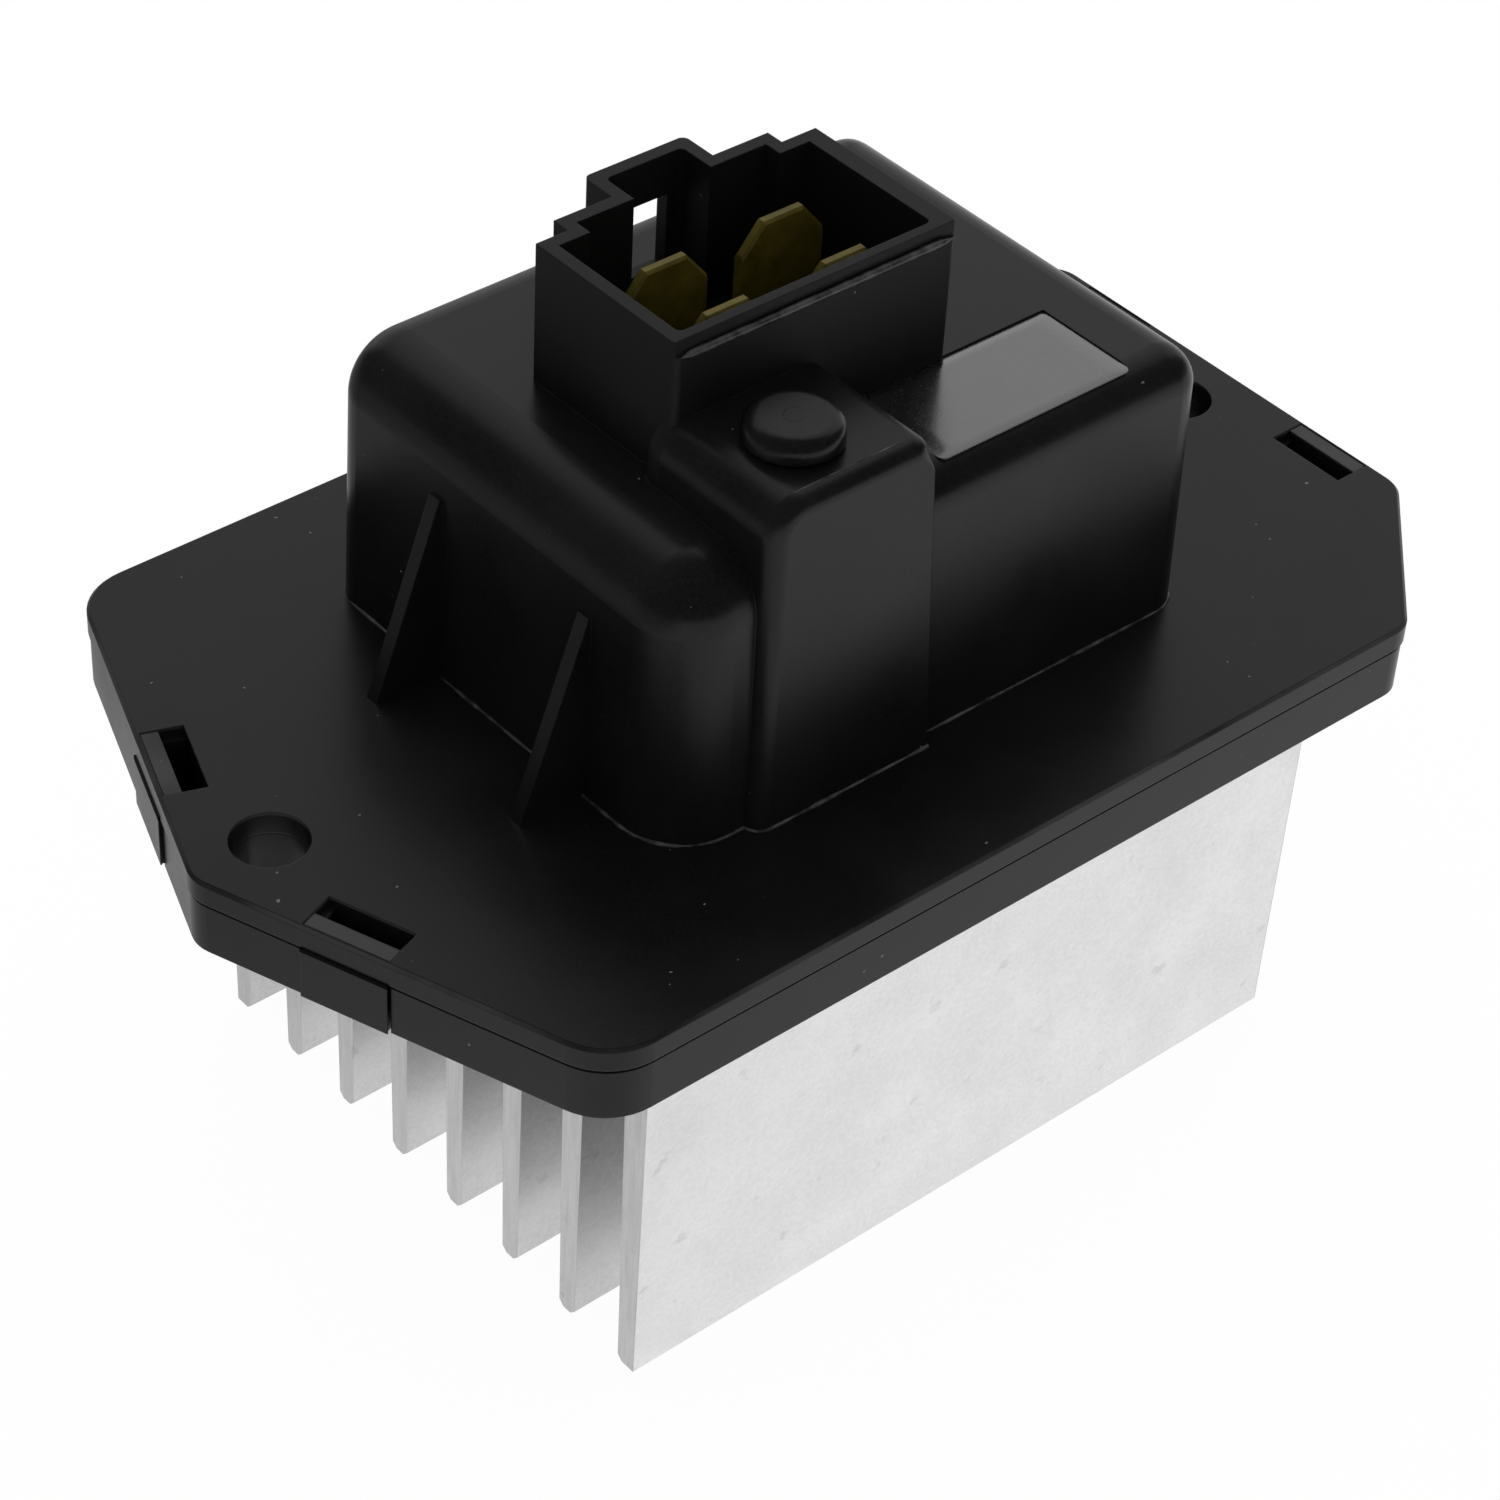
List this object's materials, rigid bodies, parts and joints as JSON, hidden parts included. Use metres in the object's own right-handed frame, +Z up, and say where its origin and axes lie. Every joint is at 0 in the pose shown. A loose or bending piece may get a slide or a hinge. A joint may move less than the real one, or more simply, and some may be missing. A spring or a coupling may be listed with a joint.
{
  "type": "blower motor resistor",
  "caption": "Car blower motor resistor: black plastic housing with a four-blade connector and a rivet-closed tower, clipped to a frame that holds a finned aluminium heat sink.",
  "frame": {"origin": "on the face that seats on the air duct, midway between the two screw holes", "axes": "+X along the long side of the flange towards its square end, +Y across it towards the latch side of the connector, +Z up out of the duct"},
  "size_m": [0.0855, 0.0536, 0.0643],
  "materials": {
    "black_plastic": "moulded, fine spark grain",
    "aluminium": "extruded, plain, lightly marked",
    "seal_rubber": "moulded, dull",
    "terminal_brass": "stamped, bare",
    "board_green": "varnished laminate",
    "screw_steel": "zinc plated",
    "pad_grey": "soft pad",
    "tinned_metal": "tinned",
    "package_black": "moulded",
    "can_aluminium": "drawn, plain",
    "shunt_metal": "bare strip"
  },
  "bodies": {
    "root": {"housing": "black_plastic", "lower_frame": "black_plastic", "heat_sink": "aluminium", "housing_seal": "seal_rubber", "closing_rivet": "black_plastic", "blade_terminal_1": "terminal_brass", "blade_terminal_2": "terminal_brass", "blade_terminal_3": "terminal_brass", "blade_terminal_4": "terminal_brass", "circuit_board": "board_green", "board_screws": "screw_steel", "thermal_pad_1": "pad_grey", "thermal_pad_2": "pad_grey", "transistor_tab_1": "tinned_metal", "transistor_tab_2": "tinned_metal", "transistor_leads_1": "tinned_metal", "transistor_leads_2": "tinned_metal", "transistor_body_1": "package_black", "transistor_body_2": "package_black", "transistor_screws": "screw_steel", "capacitor_foot": "seal_rubber", "capacitor_can": "can_aluminium", "control_chip": "package_black", "control_chip_legs": "tinned_metal", "shunt_strip": "shunt_metal", "diode_body": "package_black", "diode_legs": "tinned_metal", "thermal_fuse": "can_aluminium", "thermal_fuse_leads": "tinned_metal", "chip_resistors": "package_black"}
  },
  "joints": []
}
